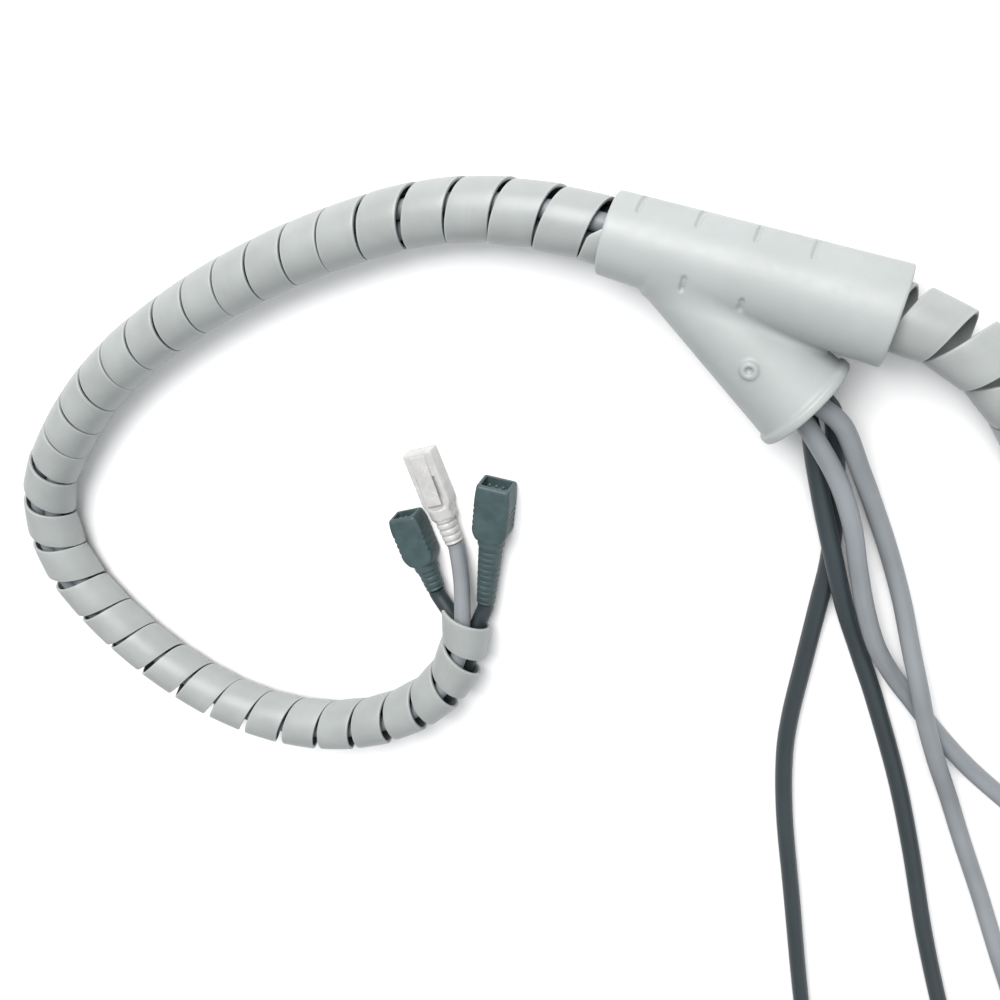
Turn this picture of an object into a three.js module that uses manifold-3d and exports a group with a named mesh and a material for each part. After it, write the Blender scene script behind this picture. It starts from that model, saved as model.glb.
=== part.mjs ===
// Spiral cable wrap lying in a loop on a level floor, with its slip-on threading tool.
// Four cables enter the tool's funnel, run inside the wrap and leave it at its narrow end.
// Units are millimetres and +Z is up. The loop is seen from above with +Y away from the viewer.

import * as THREE from "three";
import { mergeVertices } from "three/addons/utils/BufferGeometryUtils.js";
import Module from "manifold-3d";

const wasm = await Module();
wasm.setup();

// Fitting gap between neighbouring pieces
const GAP = 0.3;

// Spiral wrap: one ribbon wound into a tube
const WRAP_RADIUS = 10;
const WRAP_WALL = 1.3;
const WRAP_LENGTH = 1000;
const RIBBON_WIDTH = 13.8;
const TURN_GAP = 0.4;
const STEPS_PER_TURN = 12;
const TIP_RADIUS = 9;
const TIP_TAPER_LENGTH = 110;

// Threading tool: a tapered barrel round the wrap and a side funnel for the cables
const BARREL_LENGTH = 84;
const BARREL_REAR_BORE = 10.8;
const BARREL_FRONT_BORE = 13.1;
const TOOL_WALL = 1.6;
const FUNNEL_ROOT_BORE = 8.6;
const MOUTH_BORE = 14;
const LIP_RADIUS = 16.4;
const LIP_LENGTH = 2.4;
const TOOL_SIDES = 36;
const LIFT_LENGTH = 60;
const SPREAD_IN_BARREL = 3;
const SPREAD_PITCH = 72;
const BOSS_RADIUS = 2.6;
const BOSS_HEIGHT = 1;
const BOSS_PLACE = 36;

// Cables
const CABLE_DIAMETER = 6;
const CABLE_SIDES = 8;
const CABLE_STEPS = 80;
const ROUTE_SPACING = 9;
const TIP_OVERHANG = 3;
const PLUG_LEAD = 5;
const SHORT_CABLE_START = 180;
const REGROUP_START = 105;
const REGROUP_LENGTH = 70;

// Coils that the cables' spare length is wound into
const COIL_RADIUS = 33;
const COIL_PITCH = 6.3;
const COIL_SIDES = 32;

// Place of the part's origin, under the middle of the wrap and tool
const ORIGIN = new THREE.Vector3(49.1, 53.9, 0);

// The loop as stretches of [length, turn in degrees], from the narrow end to the far end
const LOOP_START = new THREE.Vector2(-10, -49);
const LOOP_HEADING = -88;
const LOOP_BEFORE_TOOL = [
  [27, -30],
  [22, -21],
  [48, -31],
  [50, -30],
  [65, -30],
  [61, -69],
  [72, -22],
  [111, -19],
  [75, -30],
];
const LOOP_AFTER_TOOL = [
  [20, -20],
  [25, -24],
  [35, 0],
  [150, 144],
];
const BUNDLE_BEND = [20, -29];
const FUNNEL_RUN = 57;
const BUNDLE_STRETCHES = [...LOOP_BEFORE_TOOL, BUNDLE_BEND, [FUNNEL_RUN, 0]];

const radians = THREE.MathUtils.degToRad;
const smooth = THREE.MathUtils.smoothstep;
const mix = THREE.MathUtils.lerp;
const total = (stretches) => stretches.reduce((sum, [length]) => sum + length, 0);

// The far end runs straight for what is left of the wrap's length.
const BENT_STRETCHES = [...LOOP_BEFORE_TOOL, [BARREL_LENGTH, 0], ...LOOP_AFTER_TOOL];
const FAR_RUN = WRAP_LENGTH - total(BENT_STRETCHES);
const WRAP_STRETCHES = [...BENT_STRETCHES, [FAR_RUN, 0]];

const BARREL_START = total(LOOP_BEFORE_TOOL);
const BARREL_END = BARREL_START + BARREL_LENGTH;
const BUNDLE_LENGTH = total(BUNDLE_STRETCHES);
const SPREAD_START = BARREL_START + SPREAD_IN_BARREL;
const SPREAD_END = SPREAD_START + SPREAD_PITCH;
const TOOL_HEIGHT = LIP_RADIUS;
const CABLE_RADIUS = CABLE_DIAMETER / 2;

// A flat route made of straight stretches and arcs; place(s) is the point and heading at length s.
class Route {
  constructor(stretches) {
    this.legs = [];
    let point = LOOP_START.clone();
    let heading = radians(LOOP_HEADING);
    let start = 0;
    for (const [length, turn] of stretches) {
      const leg = { start, length, point, heading, bend: radians(turn) / length };
      this.legs.push(leg);
      point = this.along(leg, length);
      heading += radians(turn);
      start += length;
    }
  }

  along(leg, distance) {
    const middle = leg.heading + (leg.bend * distance) / 2;
    const half = (leg.bend * distance) / 2;
    const chord = half === 0 ? distance : (distance * Math.sin(half)) / half;
    return new THREE.Vector2(Math.cos(middle), Math.sin(middle)).multiplyScalar(chord).add(leg.point);
  }

  place(s) {
    const leg = this.legs.findLast((one) => s >= one.start) ?? this.legs[0];
    const distance = s - leg.start;
    return {
      point: this.along(leg, distance),
      heading: leg.heading + leg.bend * distance,
      bend: leg.bend,
    };
  }
}

const wrapRoute = new Route(WRAP_STRETCHES);
const bundleRoute = new Route(BUNDLE_STRETCHES);

// The wrap's outside radius is a little less at the narrow end.
function wrapRadius(s) {
  return mix(TIP_RADIUS, WRAP_RADIUS, smooth(s, 0, TIP_TAPER_LENGTH));
}

// The wrap lies on the floor and is lifted to the tool's axis where it runs through the barrel.
function axisHeight(s) {
  const rise = smooth(s, BARREL_START - LIFT_LENGTH, BARREL_START);
  const fall = 1 - smooth(s, BARREL_END, BARREL_END + LIFT_LENGTH);
  return mix(wrapRadius(s), TOOL_HEIGHT, Math.min(rise, fall));
}

// Advance for one turn: the turns close up on the inside of a bend, and the barrel spreads one turn wide.
function pitchAt(s) {
  if (s > SPREAD_START && s < SPREAD_END) return SPREAD_PITCH;
  const bend = Math.abs(wrapRoute.place(s).bend);
  return (RIBBON_WIDTH + TURN_GAP) / (1 - WRAP_RADIUS * bend);
}

// A point of the section at length s: radius and angle from the route's left side towards the top.
function sectionPoint(route, s, radius, angle) {
  const { point, heading } = route.place(s);
  const side = radius * Math.cos(angle);
  return new THREE.Vector3(
    point.x - side * Math.sin(heading),
    point.y + side * Math.cos(heading),
    axisHeight(s) + radius * Math.sin(angle),
  );
}

// Lengths along the wrap at equal steps of the ribbon's turning, with the angle at each.
function ribbonStations() {
  const stepAngle = (2 * Math.PI) / STEPS_PER_TURN;
  const stations = [{ s: 0, angle: 0 }];
  let s = 0;
  let angle = 0;
  while (s < WRAP_LENGTH) {
    const advance = pitchAt(s) / STEPS_PER_TURN;
    const next = Math.min(s + advance, WRAP_LENGTH);
    angle += (stepAngle * (next - s)) / advance;
    s = next;
    stations.push({ s, angle });
  }
  // The wide turn starts at the top, so that its gap faces the funnel on the route's right side.
  const atGap = stations.find((one) => one.s >= SPREAD_START).angle;
  const shift = 1.5 * Math.PI - atGap;
  return stations.map((one) => ({ s: one.s, angle: one.angle + shift }));
}

// The ribbon's own line: a helix round the wrap's axis, with a frame that keeps its section square to it.
class RibbonLine extends THREE.Curve {
  constructor() {
    super();
    this.stations = ribbonStations();
  }

  turnAngle(station) {
    return -station.angle;
  }

  getSpacedPoints() {
    return this.stations.map((one) => {
      const radius = wrapRadius(one.s) - WRAP_WALL / 2;
      return sectionPoint(wrapRoute, one.s, radius, this.turnAngle(one));
    });
  }

  computeFrenetFrames() {
    const frames = { tangents: [], normals: [], binormals: [] };
    for (const one of this.stations) {
      const { heading } = wrapRoute.place(one.s);
      const angle = this.turnAngle(one);
      const outward = new THREE.Vector3(
        -Math.cos(angle) * Math.sin(heading),
        Math.cos(angle) * Math.cos(heading),
        Math.sin(angle),
      );
      const forward = new THREE.Vector3(Math.cos(heading), Math.sin(heading), 0);
      frames.normals.push(outward);
      frames.binormals.push(forward);
      frames.tangents.push(outward.clone().cross(forward));
    }
    return frames;
  }
}

function rectangle(width, height) {
  const shape = new THREE.Shape();
  shape.moveTo(-width / 2, -height / 2);
  shape.lineTo(width / 2, -height / 2);
  shape.lineTo(width / 2, height / 2);
  shape.lineTo(-width / 2, height / 2);
  shape.closePath();
  return shape;
}

function ribbonGeometry() {
  const line = new RibbonLine();
  return new THREE.ExtrudeGeometry(rectangle(WRAP_WALL, RIBBON_WIDTH), {
    steps: line.stations.length - 1,
    extrudePath: line,
    bevelEnabled: false,
  });
}

// Boolean joins and cuts
function solidOf(geometry) {
  const bare = geometry.index ? geometry.toNonIndexed() : geometry.clone();
  bare.deleteAttribute("normal");
  bare.deleteAttribute("uv");
  const merged = mergeVertices(bare, 1e-4);
  return new wasm.Manifold(
    new wasm.Mesh({
      numProp: 3,
      vertProperties: new Float32Array(merged.attributes.position.array),
      triVerts: new Uint32Array(merged.index.array),
    }),
  );
}

function geometryOf(solid) {
  const mesh = solid.getMesh();
  const geometry = new THREE.BufferGeometry();
  geometry.setAttribute("position", new THREE.BufferAttribute(mesh.vertProperties, 3));
  geometry.setIndex(new THREE.BufferAttribute(mesh.triVerts, 1));
  geometry.computeVertexNormals();
  return geometry;
}

// A turned piece whose axis starts at a point, level, in a heading; profile points are [radius, along].
function turned(profile, sides, point, height, heading) {
  const outline = profile.map(([radius, along]) => new THREE.Vector2(radius, along));
  const geometry = new THREE.LatheGeometry(outline, sides);
  geometry.rotateZ(-Math.PI / 2);
  geometry.rotateZ(heading);
  geometry.translate(point.x, point.y, height);
  return geometry;
}

function frustum(startRadius, endRadius, start, end) {
  return [
    [0, start],
    [startRadius, start],
    [endRadius, end],
    [0, end],
  ];
}

// The threading tool: barrel and funnel in one moulding, with a lip round the funnel's mouth
function toolGeometry() {
  const barrel = wrapRoute.place(BARREL_START);
  const mouth = bundleRoute.place(BUNDLE_LENGTH);
  const root = bundleRoute.place(BUNDLE_LENGTH - FUNNEL_RUN);
  const beyond = 1;
  const barrelPiece = (profile) =>
    solidOf(turned(profile, TOOL_SIDES, barrel.point, TOOL_HEIGHT, barrel.heading));
  const funnelPiece = (profile) =>
    solidOf(turned(profile, TOOL_SIDES, root.point, TOOL_HEIGHT, mouth.heading));

  const barrelOutside = barrelPiece(
    frustum(BARREL_REAR_BORE + TOOL_WALL, BARREL_FRONT_BORE + TOOL_WALL, 0, BARREL_LENGTH),
  );
  const barrelInside = barrelPiece([
    [0, -beyond],
    [BARREL_REAR_BORE, -beyond],
    [BARREL_REAR_BORE, 0],
    [BARREL_FRONT_BORE, BARREL_LENGTH],
    [BARREL_FRONT_BORE, BARREL_LENGTH + beyond],
    [0, BARREL_LENGTH + beyond],
  ]);
  const funnelOutside = funnelPiece([
    [0, 0],
    [FUNNEL_ROOT_BORE + TOOL_WALL, 0],
    [MOUTH_BORE + TOOL_WALL, FUNNEL_RUN - LIP_LENGTH],
    [LIP_RADIUS, FUNNEL_RUN - LIP_LENGTH],
    [LIP_RADIUS, FUNNEL_RUN],
    [0, FUNNEL_RUN],
  ]);
  const funnelInside = funnelPiece([
    [0, 0],
    [FUNNEL_ROOT_BORE, 0],
    [MOUTH_BORE, FUNNEL_RUN],
    [MOUTH_BORE, FUNNEL_RUN + beyond],
    [0, FUNNEL_RUN + beyond],
  ]);
  const bossRadius = mix(FUNNEL_ROOT_BORE, MOUTH_BORE, BOSS_PLACE / FUNNEL_RUN) + TOOL_WALL;
  const bossPoint = bundleRoute.place(BUNDLE_LENGTH - FUNNEL_RUN + BOSS_PLACE).point;
  const boss = new THREE.CylinderGeometry(BOSS_RADIUS, BOSS_RADIUS, bossRadius + BOSS_HEIGHT, 16);
  boss.rotateX(Math.PI / 2);
  boss.translate(bossPoint.x, bossPoint.y, TOOL_HEIGHT + (bossRadius + BOSS_HEIGHT) / 2);
  return geometryOf(
    barrelOutside.add(funnelOutside).add(solidOf(boss)).subtract(barrelInside).subtract(funnelInside),
  );
}

// Slots of the cables: angles in degrees in the full section and, past the regroup, near the narrow end
const FULL_SPACING = (CABLE_DIAMETER + GAP) / Math.SQRT2;
const TIP_SPACING = (CABLE_DIAMETER + GAP) / Math.sqrt(3);

function slotPoint(slot, s) {
  const share = smooth(s, REGROUP_START, REGROUP_START + REGROUP_LENGTH);
  const spacing = mix(TIP_SPACING, FULL_SPACING, share);
  const angle = radians(mix(slot.tip, slot.full, share));
  return sectionPoint(bundleRoute, s, spacing, angle);
}

// Cables: outer points run from the funnel's mouth to the coil, and tip points from the plug to the wrap's end.
const FLOOR_LEVEL = CABLE_RADIUS;
const CABLES = [
  {
    name: "dark_cable_left",
    colour: 0x3d4b55,
    slot: { full: 225, tip: 210 },
    plug: { name: "dark_plug_left", kind: "socket", tail: [-23.3, -40.4], heading: 112 },
    tip: [],
    outer: [
      [100, 48.5, 11.5],
      [103.5, 35, 10],
      [108, 20, 9.6],
      [113, 5, 9.5],
      [119, -14, 6.5],
      [126, -32, 3.2],
      [134, -50],
      [146, -80],
      [156, -110],
      [168, -150],
      [184, -196],
      [203, -245],
    ],
    coil: { x: 198, y: -318, entry: 18, turn: -1, turns: 2 },
    farPlug: { name: "dark_far_plug_left", kind: "socket" },
  },
  {
    name: "dark_cable_right",
    colour: 0x4b5a63,
    slot: { full: 315, tip: 330 },
    plug: { name: "dark_plug_right", kind: "longSocket", tail: [-3.7, -41.5], heading: 86 },
    tip: [],
    outer: [
      [106, 52.5, 9.5],
      [108.5, 37, 4.5],
      [111, 18, 3.2],
      [112, 0],
      [111, -17],
      [109.5, -40],
      [108, -65],
      [108.5, -84],
      [112, -110],
      [119, -145],
      [129, -195],
      [140, -245],
      [149, -290],
    ],
    coil: { x: 120, y: -352, entry: 4, turn: -1, turns: 2 },
    farPlug: { name: "dark_far_plug_right", kind: "socket" },
  },
  {
    name: "grey_cable_left",
    colour: 0xa9afb5,
    slot: { full: 135, tip: 90 },
    plug: { name: "network_plug", kind: "modular", tail: [-16.2, -19.5], heading: 112 },
    tip: [[-12, -35, 7.5]],
    outer: [
      [102.5, 47.5, 18.5],
      [111, 33, 14.5],
      [117, 18, 12],
      [121, 3, 10.5],
      [125.5, -12, 9.5],
      [131, -26, 8],
      [138, -38, 5],
      [146, -48, 3.2],
      [156, -59],
      [168, -70],
      [183, -81],
      [200, -93],
    ],
    coil: { x: 251.3, y: -84, entry: -110, turn: 1, turns: 3 },
    farPlug: { name: "network_far_plug_left", kind: "modular" },
  },
  {
    name: "grey_cable_right",
    colour: 0xa9afb5,
    slot: { full: 45, tip: 45 },
    start: SHORT_CABLE_START,
    outer: [
      [109.5, 52, 16.5],
      [116.5, 36.5, 11],
      [123, 21, 5.5],
      [129.5, 6, 3.2],
      [136, -10, 3.4],
      [141.5, -25, 6.5],
      [146.5, -38, 9.6],
      [151, -51, 9.9],
      [157, -66, 9],
      [163.5, -82, 5],
      [171, -100, 3.1],
      [182, -124],
      [196, -156],
      [212, -190],
      [228, -216],
    ],
    coil: { x: 282, y: -238, entry: -147, turn: 1, turns: 3 },
    farPlug: { name: "network_far_plug_right", kind: "modular" },
  },
];

const PLUG_KINDS = {
  socket: { neck: 11, neckRadius: 4.2, tailRadius: 3.4, body: 20, width: 12.5, nose: 10.5, height: 9, colour: 0x4f6c70 },
  longSocket: { neck: 27, neckRadius: 4.6, tailRadius: 3.4, body: 22, width: 13, nose: 12, height: 10, colour: 0x4f6c70 },
  modular: { neck: 13, neckRadius: 3.9, tailRadius: 3.4, body: 23, width: 11.7, nose: 11.7, height: 8, colour: 0xd8dad8 },
};

// A plug: a round tapered neck and a moulded body with chamfered shoulders, lying flat along +X from its tail
function plugGeometry(kind) {
  const overlap = 1;
  const neck = solidOf(
    turned(
      frustum(kind.tailRadius, kind.neckRadius, 0, kind.neck + overlap),
      16,
      new THREE.Vector2(0, 0),
      0,
      0,
    ),
  );
  const shoulder = kind.width / 4;
  const end = kind.neck + kind.body;
  const outline = new THREE.Shape();
  outline.moveTo(kind.neck, -kind.neckRadius);
  outline.lineTo(kind.neck + shoulder, -kind.width / 2);
  outline.lineTo(end - shoulder, -kind.width / 2);
  outline.lineTo(end, -kind.nose / 2);
  outline.lineTo(end, kind.nose / 2);
  outline.lineTo(end - shoulder, kind.width / 2);
  outline.lineTo(kind.neck + shoulder, kind.width / 2);
  outline.lineTo(kind.neck, kind.neckRadius);
  outline.closePath();
  const body = new THREE.ExtrudeGeometry(outline, { depth: kind.height, bevelEnabled: false });
  body.translate(0, 0, -kind.height / 2);
  return geometryOf(neck.add(solidOf(body)));
}

// The cable's last stretch runs straight into the plug's tail at the plug's own height.
function plugLead(plug) {
  const heading = radians(plug.heading);
  const z = PLUG_KINDS[plug.kind].height / 2;
  const [x, y] = plug.tail;
  const back = new THREE.Vector3(Math.cos(heading), Math.sin(heading), 0).multiplyScalar(PLUG_LEAD);
  const tail = new THREE.Vector3(x, y, z);
  return [tail, tail.clone().sub(back)];
}

// The free cable runs in along the coil's tangent and stops where its side would meet the coil.
function coilDoor(coil) {
  const entry = radians(coil.entry);
  const heading = entry + (coil.turn * Math.PI) / 2;
  const stop = 2 * Math.sqrt(COIL_RADIUS * CABLE_RADIUS) + GAP;
  return new THREE.Vector3(
    coil.x + COIL_RADIUS * Math.cos(entry) - stop * Math.cos(heading),
    coil.y + COIL_RADIUS * Math.sin(entry) - stop * Math.sin(heading),
    FLOOR_LEVEL,
  );
}

// A cable's line: narrow end, wrap, funnel, then the outer points
function cableLine(cable) {
  const start = cable.start ?? -TIP_OVERHANG;
  const inside = [];
  const count = Math.ceil((BUNDLE_LENGTH - start) / ROUTE_SPACING);
  for (let i = 0; i <= count; i += 1) {
    inside.push(slotPoint(cable.slot, mix(start, BUNDLE_LENGTH, i / count)));
  }
  const free = ([x, y, z = FLOOR_LEVEL]) => new THREE.Vector3(x, y, z);
  const tip = cable.plug ? [...plugLead(cable.plug), ...cable.tip.map(free)] : [];
  return new THREE.CatmullRomCurve3(
    [...tip, ...inside, ...cable.outer.map(free), coilDoor(cable.coil)],
    false,
    "catmullrom",
    0.5,
  );
}

function cableGeometry(cable) {
  const section = new THREE.Shape();
  for (let i = 0; i < CABLE_SIDES; i += 1) {
    const angle = (2 * Math.PI * (i + 0.5)) / CABLE_SIDES;
    const x = CABLE_RADIUS * Math.cos(angle);
    const y = CABLE_RADIUS * Math.sin(angle);
    if (i === 0) section.moveTo(x, y);
    else section.lineTo(x, y);
  }
  section.closePath();
  return new THREE.ExtrudeGeometry(section, {
    steps: CABLE_STEPS,
    extrudePath: cableLine(cable),
    bevelEnabled: false,
  });
}

function coilHeight(coil) {
  return (coil.turns - 1) * COIL_PITCH + CABLE_DIAMETER;
}

// The outer shape of a coil: a ring as high as its turns
function coilGeometry(coil) {
  const inner = COIL_RADIUS - CABLE_RADIUS;
  const outer = COIL_RADIUS + CABLE_RADIUS;
  const height = coilHeight(coil);
  const ring = new THREE.LatheGeometry(
    [
      new THREE.Vector2(inner, 0),
      new THREE.Vector2(outer, 0),
      new THREE.Vector2(outer, height),
      new THREE.Vector2(inner, height),
      new THREE.Vector2(inner, 0),
    ],
    COIL_SIDES,
  );
  ring.rotateX(Math.PI / 2);
  ring.translate(coil.x, coil.y, 0);
  return ring;
}

// The far plug lies on its coil like a chord, with its tail and its nose over the turns.
function farPlugPlace(coil, kind) {
  const entry = radians(coil.entry);
  const lean = Math.asin((kind.neck + kind.body) / (2 * COIL_RADIUS));
  return {
    x: coil.x + COIL_RADIUS * Math.cos(entry),
    y: coil.y + COIL_RADIUS * Math.sin(entry),
    z: coilHeight(coil) + GAP + kind.height / 2,
    heading: entry + coil.turn * (Math.PI / 2 + lean),
  };
}

// The scene graph
const group = new THREE.Group();
const plastic = { roughness: 0.55, metalness: 0 };

function addPiece(name, geometry, color) {
  geometry.translate(-ORIGIN.x, -ORIGIN.y, -ORIGIN.z);
  const mesh = new THREE.Mesh(geometry, new THREE.MeshStandardMaterial({ color, ...plastic }));
  mesh.name = name;
  group.add(mesh);
}

addPiece("spiral_wrap", ribbonGeometry(), 0xc9cecf);
addPiece("threading_tool", toolGeometry(), 0xcdd1d2);

function addPlug(name, kind, place) {
  const geometry = plugGeometry(kind);
  geometry.rotateZ(place.heading);
  geometry.translate(place.x, place.y, place.z);
  addPiece(name, geometry, kind.colour);
}

for (const cable of CABLES) {
  addPiece(cable.name, cableGeometry(cable), cable.colour);
  addPiece(`${cable.name}_coil`, coilGeometry(cable.coil), cable.colour);
  if (cable.plug) {
    const kind = PLUG_KINDS[cable.plug.kind];
    const heading = radians(cable.plug.heading);
    const [x, y] = cable.plug.tail;
    addPlug(cable.plug.name, kind, {
      x: x + GAP * Math.cos(heading),
      y: y + GAP * Math.sin(heading),
      z: kind.height / 2,
      heading,
    });
  }
  const farKind = PLUG_KINDS[cable.farPlug.kind];
  addPlug(cable.farPlug.name, farKind, farPlugPlace(cable.coil, farKind));
}

export default group;
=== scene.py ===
"""Spiral cable wrap lying in a loop, with its threading tool, four cables and their plugs."""

import math

import bpy
import numpy as np
from bpy.props import FloatProperty, FloatVectorProperty, IntProperty, PointerProperty
from mathutils import Matrix, Vector


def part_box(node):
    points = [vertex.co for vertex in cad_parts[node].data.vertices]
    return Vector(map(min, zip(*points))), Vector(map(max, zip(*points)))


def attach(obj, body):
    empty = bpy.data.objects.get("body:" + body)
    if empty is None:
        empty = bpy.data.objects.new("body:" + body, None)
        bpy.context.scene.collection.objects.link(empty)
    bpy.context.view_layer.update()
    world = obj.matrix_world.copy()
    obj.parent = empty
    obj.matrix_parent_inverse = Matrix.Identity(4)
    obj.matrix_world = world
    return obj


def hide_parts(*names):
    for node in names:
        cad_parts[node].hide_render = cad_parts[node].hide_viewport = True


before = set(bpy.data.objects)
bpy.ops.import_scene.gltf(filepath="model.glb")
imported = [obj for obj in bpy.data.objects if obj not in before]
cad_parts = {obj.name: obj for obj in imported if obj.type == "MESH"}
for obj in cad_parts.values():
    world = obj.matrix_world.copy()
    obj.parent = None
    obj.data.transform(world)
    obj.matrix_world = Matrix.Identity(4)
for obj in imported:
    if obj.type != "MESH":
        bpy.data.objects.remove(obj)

bl_info = {
    "name": "Spiral Cable Wrap",
    "version": (1, 0, 0),
    "blender": (4, 5, 0),
    "location": "3D View > Sidebar > Cable Wrap",
    "description": "Makes a spiral cable wrap with its threading tool, cables and plugs",
    "category": "Add Mesh",
}

MM = 0.001
ROOT = "root"

# Place of the part's origin on the plan that the routes are drawn on
ORIGIN = np.array([49.1, 53.9, 0.0]) * MM

# Fitting gap between neighbouring pieces
GAP = 0.3 * MM

# Wrap and tool, the same as in the solids
WRAP_RADIUS = 10 * MM
TIP_RADIUS = 9 * MM
TIP_TAPER_LENGTH = 110 * MM
BARREL_LENGTH = 84 * MM
BARREL_REAR_BORE = 10.8 * MM
BARREL_FRONT_BORE = 13.1 * MM
TOOL_WALL = 1.6 * MM
FUNNEL_ROOT_BORE = 8.6 * MM
MOUTH_BORE = 14 * MM
LIP_RADIUS = 16.4 * MM
LIP_LENGTH = 2.4 * MM
LIFT_LENGTH = 60 * MM
SPREAD_IN_BARREL = 3 * MM
SPREAD_PITCH = 72 * MM
BOSS_RADIUS = 2.6 * MM
BOSS_HEIGHT = 1 * MM
BOSS_PLACE = 36 * MM
TOOL_HEIGHT = LIP_RADIUS

# The loop as stretches of length in mm and turn in degrees, from the narrow end to the far end;
# the last one is straight and makes up the wrap's whole length, which is in mm too
WRAP_LENGTH = 1000
LOOP_START = np.array([-10.0, -49.0]) * MM
LOOP_HEADING = math.radians(-88)
LOOP_BEFORE_TOOL = [
    (27, -30),
    (22, -21),
    (48, -31),
    (50, -30),
    (65, -30),
    (61, -69),
    (72, -22),
    (111, -19),
    (75, -30),
]
LOOP_AFTER_TOOL = [(20, -20), (25, -24), (35, 0), (150, 144)]
BARREL_STRETCH = (BARREL_LENGTH / MM, 0)
BUNDLE_BEND = (20, -29)
FUNNEL_RUN = 57 * MM
BENT_STRETCHES = [*LOOP_BEFORE_TOOL, BARREL_STRETCH, *LOOP_AFTER_TOOL]
FAR_RUN = WRAP_LENGTH - sum(length for length, _ in BENT_STRETCHES)
WRAP_STRETCHES = [*BENT_STRETCHES, (FAR_RUN, 0)]
BUNDLE_STRETCHES = [*LOOP_BEFORE_TOOL, BUNDLE_BEND, (FUNNEL_RUN / MM, 0)]

# Cables: those with a near plug take their place in the wrap at the long start, and the one
# without ends inside the wrap at the short start
CABLE_DIAMETER = 6 * MM
CABLE_RADIUS = CABLE_DIAMETER / 2
ROUTE_SPACING = 9 * MM
LONG_CABLE_START = 5 * MM
PLUG_LEAD = 2.5 * MM
SHORT_CABLE_START = 180 * MM
REGROUP_START = 105 * MM
REGROUP_LENGTH = 70 * MM
FULL_SPACING = (CABLE_DIAMETER + GAP) / math.sqrt(2)
TIP_SPACING = (CABLE_DIAMETER + GAP) / math.sqrt(3)

# Coils of the cables' spare length: in turns, where a coil begins, and how long before a turn's
# end its ramp starts and ends
COIL_RADIUS = 33 * MM
COIL_PITCH = 6.3 * MM
COIL_BEGIN = 0.03
RAMP_START = 0.2
RAMP_END = 0.05

# Points on a span, on a coil's turn, on the way into it and on the climb to the far plug
SPAN_POINTS = 10
TURN_POINTS = 90
JOIN_POINTS = 12
CLIMB_POINTS = 24

# Up, and the angle past which an edge stays sharp
UP = np.array([0.0, 0.0, 1.0])
CREASE_ANGLE = math.radians(50)


def smoothstep(value, low, high):
    """Three t squared less two t cubed, where t is the share of the way from low to high."""
    share = np.clip((value - low) / (high - low), 0, 1)
    return share * share * (3 - 2 * share)


def mix(start, end, share):
    """The value a share of the way from start to end."""
    return start + (end - start) * share


class Route:
    """A flat route of straight stretches and arcs, with point, heading and bend at any length."""

    def __init__(self, stretches):
        lengths = np.array([length for length, _ in stretches]) * MM
        turns = np.radians([turn for _, turn in stretches])
        self.length = lengths.sum()
        self.starts = np.concatenate([[0], np.cumsum(lengths)[:-1]])
        self.headings = LOOP_HEADING + np.concatenate([[0], np.cumsum(turns)[:-1]])
        self.bends = turns / lengths
        steps = self.chord(self.headings, self.bends, lengths)
        self.points = LOOP_START + np.concatenate([[[0, 0]], np.cumsum(steps, axis=0)[:-1]])

    @staticmethod
    def chord(heading, bend, distance):
        """An arc's chord: the distance times sin(h)/h of half the turn, along the mean heading."""
        half = bend * distance / 2
        reach = distance * np.sinc(half / np.pi)
        return np.stack([reach * np.cos(heading + half), reach * np.sin(heading + half)], -1)

    def place(self, s):
        """Point, heading and bend at each length s."""
        s = np.asarray(s, float)
        leg = np.clip(np.searchsorted(self.starts, s, side="right") - 1, 0, None)
        distance = s - self.starts[leg]
        point = self.points[leg] + self.chord(self.headings[leg], self.bends[leg], distance)
        return point, self.headings[leg] + self.bends[leg] * distance, self.bends[leg]


WRAP_ROUTE = Route(WRAP_STRETCHES)
BUNDLE_ROUTE = Route(BUNDLE_STRETCHES)
BARREL_START = sum(length for length, _ in LOOP_BEFORE_TOOL) * MM
BARREL_END = BARREL_START + BARREL_LENGTH
SPREAD_START = BARREL_START + SPREAD_IN_BARREL


def wrap_radius(s):
    """Outside radius of the wrap, a little less at the narrow end."""
    return mix(TIP_RADIUS, WRAP_RADIUS, smoothstep(s, 0, TIP_TAPER_LENGTH))


def axis_height(s):
    """Height of the wrap's axis: on the floor, and lifted to the tool's axis in the barrel."""
    rise = smoothstep(s, BARREL_START - LIFT_LENGTH, BARREL_START)
    fall = 1 - smoothstep(s, BARREL_END, BARREL_END + LIFT_LENGTH)
    return mix(wrap_radius(s), TOOL_HEIGHT, np.minimum(rise, fall))


def frames_at(route, s):
    """Axis point, forward and left directions at each length s, in the part's frame."""
    point, heading, _ = route.place(s)
    zero = np.zeros_like(heading)
    axis = np.concatenate([point, axis_height(s)[..., None]], -1) - ORIGIN
    forward = np.stack([np.cos(heading), np.sin(heading), zero], -1)
    left = np.stack([-np.sin(heading), np.cos(heading), zero], -1)
    return axis, forward, left


def section_point(route, s, radius, angle):
    """Points at a radius and an angle from the route's left side towards the top."""
    axis, _, left = frames_at(route, s)
    side = (radius * np.cos(angle))[..., None] * left
    return axis + side + (radius * np.sin(angle))[..., None] * UP


# Mesh building

def finish_mesh(name, vertices, faces, smooth_angle=None):
    """A new object at the origin from vertices and faces, smooth shaded."""
    mesh = bpy.data.meshes.new(name)
    mesh.from_pydata(vertices.tolist(), [], faces)
    mesh.validate()
    mesh.update()
    mesh.shade_smooth()
    if smooth_angle is not None:
        mesh.set_sharp_from_angle(angle=smooth_angle)
    piece = bpy.data.objects.new(name, mesh)
    bpy.context.scene.collection.objects.link(piece)
    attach(piece, ROOT)
    return piece


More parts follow.
